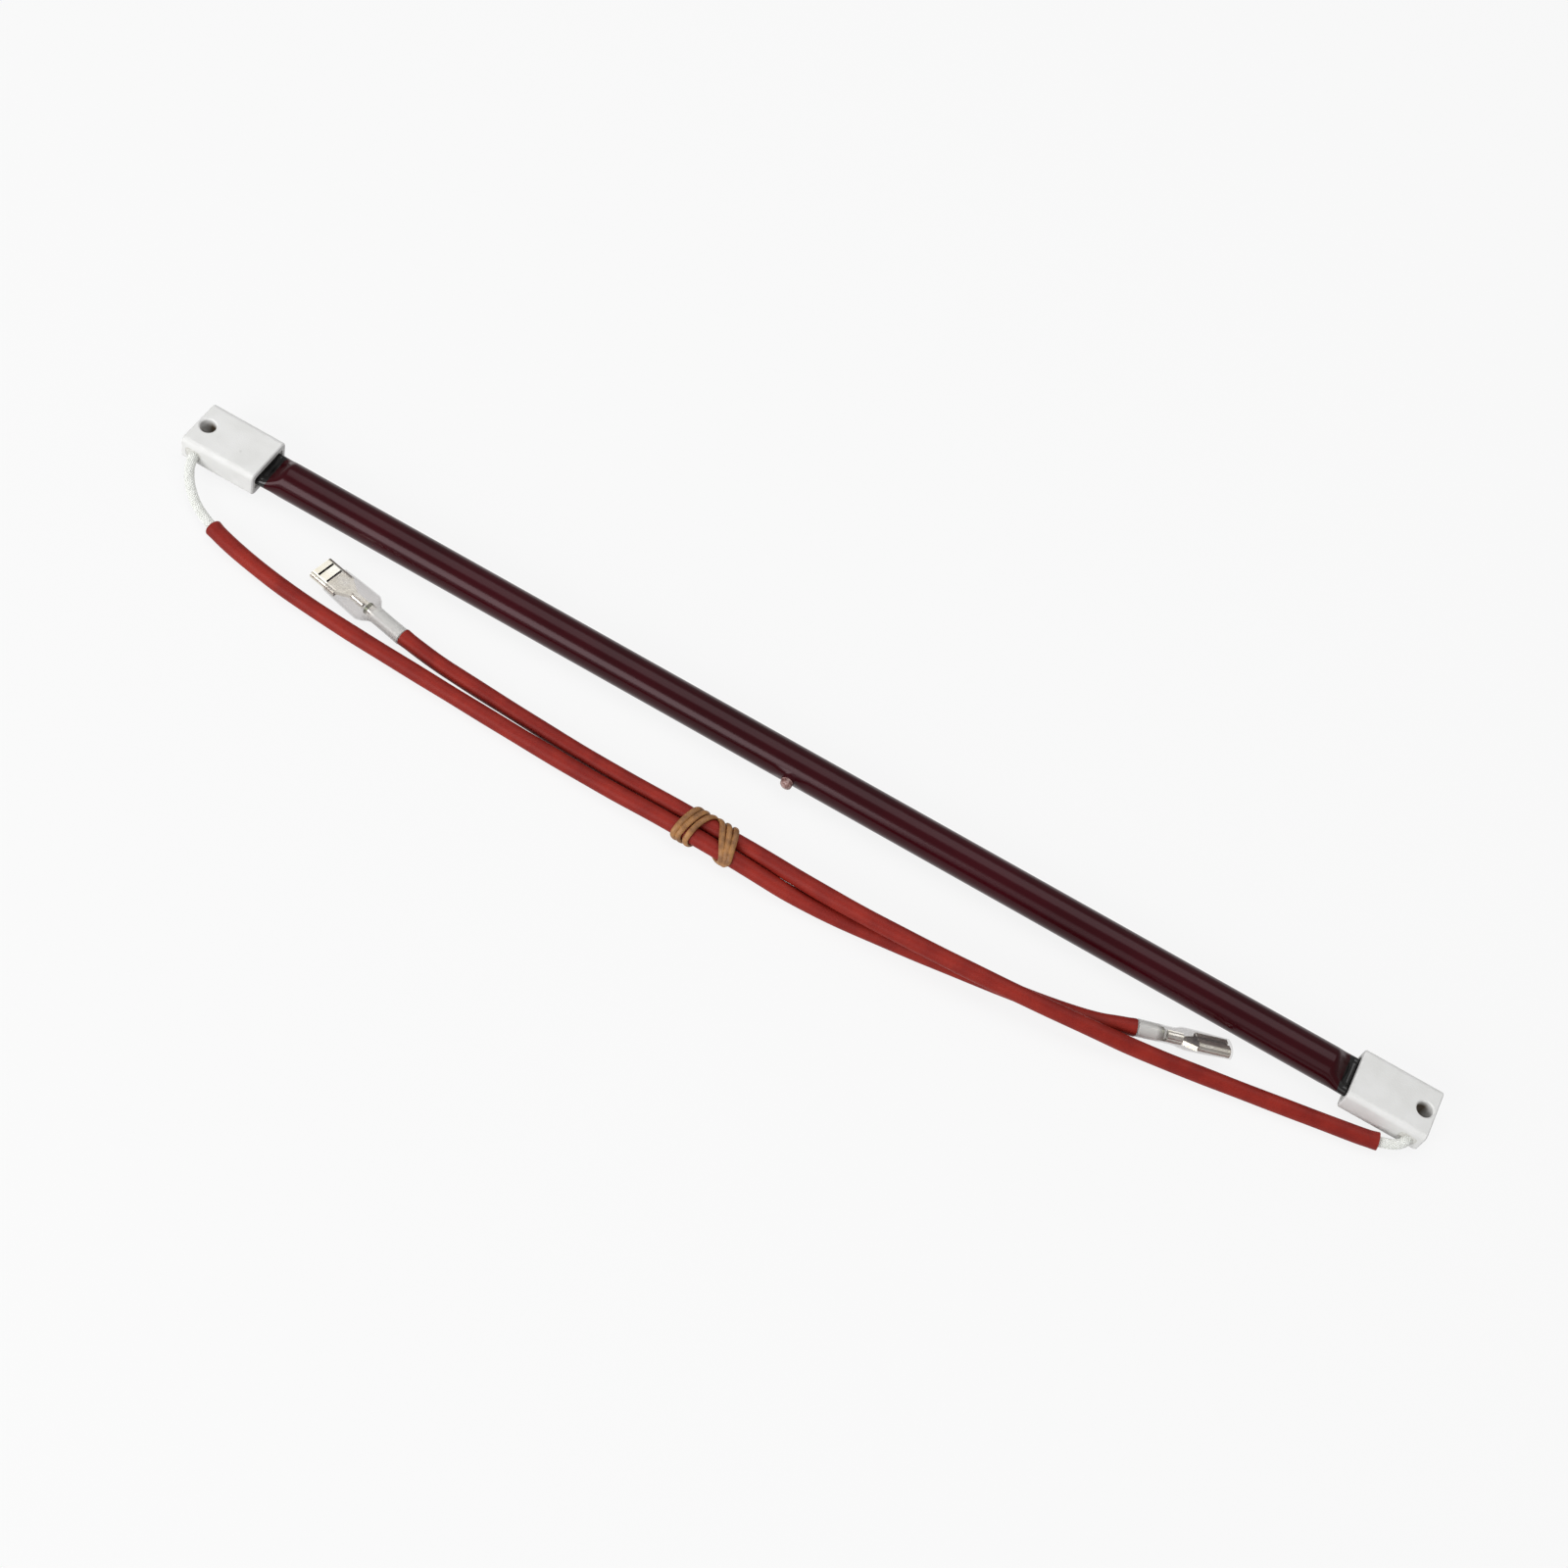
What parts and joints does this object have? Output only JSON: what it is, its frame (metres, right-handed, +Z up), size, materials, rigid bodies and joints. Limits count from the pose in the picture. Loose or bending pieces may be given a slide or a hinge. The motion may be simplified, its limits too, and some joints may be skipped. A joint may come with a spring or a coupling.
{
  "type": "quartz heating tube",
  "caption": "Straight ruby quartz halogen heating lamp with a pumping tip, a ceramic block with a screw hole on each end, and red-sleeved leads with push-on terminals.",
  "frame": {"origin": "below the middle of the quartz tube, on the surface that it lies on", "axes": "+X along the tube to the right-hand block, +Y to the back, away from the leads, +Z up"},
  "size_m": [0.355, 0.0434, 0.01],
  "materials": {
    "ruby_quartz": "gloss, very dark ruby coating that lets little light through",
    "tungsten": "drawn tungsten wire",
    "molybdenum": "satin foil and pin",
    "nickel": "satin nickel",
    "steatite": "matt unglazed off-white ceramic",
    "cement": "fine grained matt white cement",
    "glass_braid": "white glass-fibre braid over stranded nickel-plated wire",
    "red_silicone": "satin brick-red silicone-coated braided sleeving",
    "tinned_brass": "bright tin over brass, yellowish at the bends",
    "clear_vinyl": "clear soft vinyl",
    "latex": "amber natural rubber, matt"
  },
  "bodies": {
    "root": {"ruby_quartz_envelope": "ruby_quartz", "filament_coil": "tungsten", "filament_support_1": "tungsten", "filament_support_2": "tungsten", "filament_support_3": "tungsten", "filament_support_4": "tungsten", "filament_support_5": "tungsten", "filament_support_6": "tungsten", "filament_support_7": "tungsten", "filament_support_8": "tungsten", "filament_support_9": "tungsten", "inner_lead_left": "tungsten", "seal_foil_left": "molybdenum", "outer_pin_left": "molybdenum", "splice_ferrule_left": "nickel", "ceramic_block_left": "steatite", "cement_fill_left": "cement", "left_lead_wire": "glass_braid", "left_lead_sleeve": "red_silicone", "left_lead_terminal": "tinned_brass", "left_lead_terminal_cover": "clear_vinyl", "inner_lead_right": "tungsten", "seal_foil_right": "molybdenum", "outer_pin_right": "molybdenum", "splice_ferrule_right": "nickel", "ceramic_block_right": "steatite", "cement_fill_right": "cement", "right_lead_wire": "glass_braid", "right_lead_sleeve": "red_silicone", "right_lead_terminal": "tinned_brass", "right_lead_terminal_cover": "clear_vinyl", "rubber_band": "latex"}
  },
  "joints": []
}
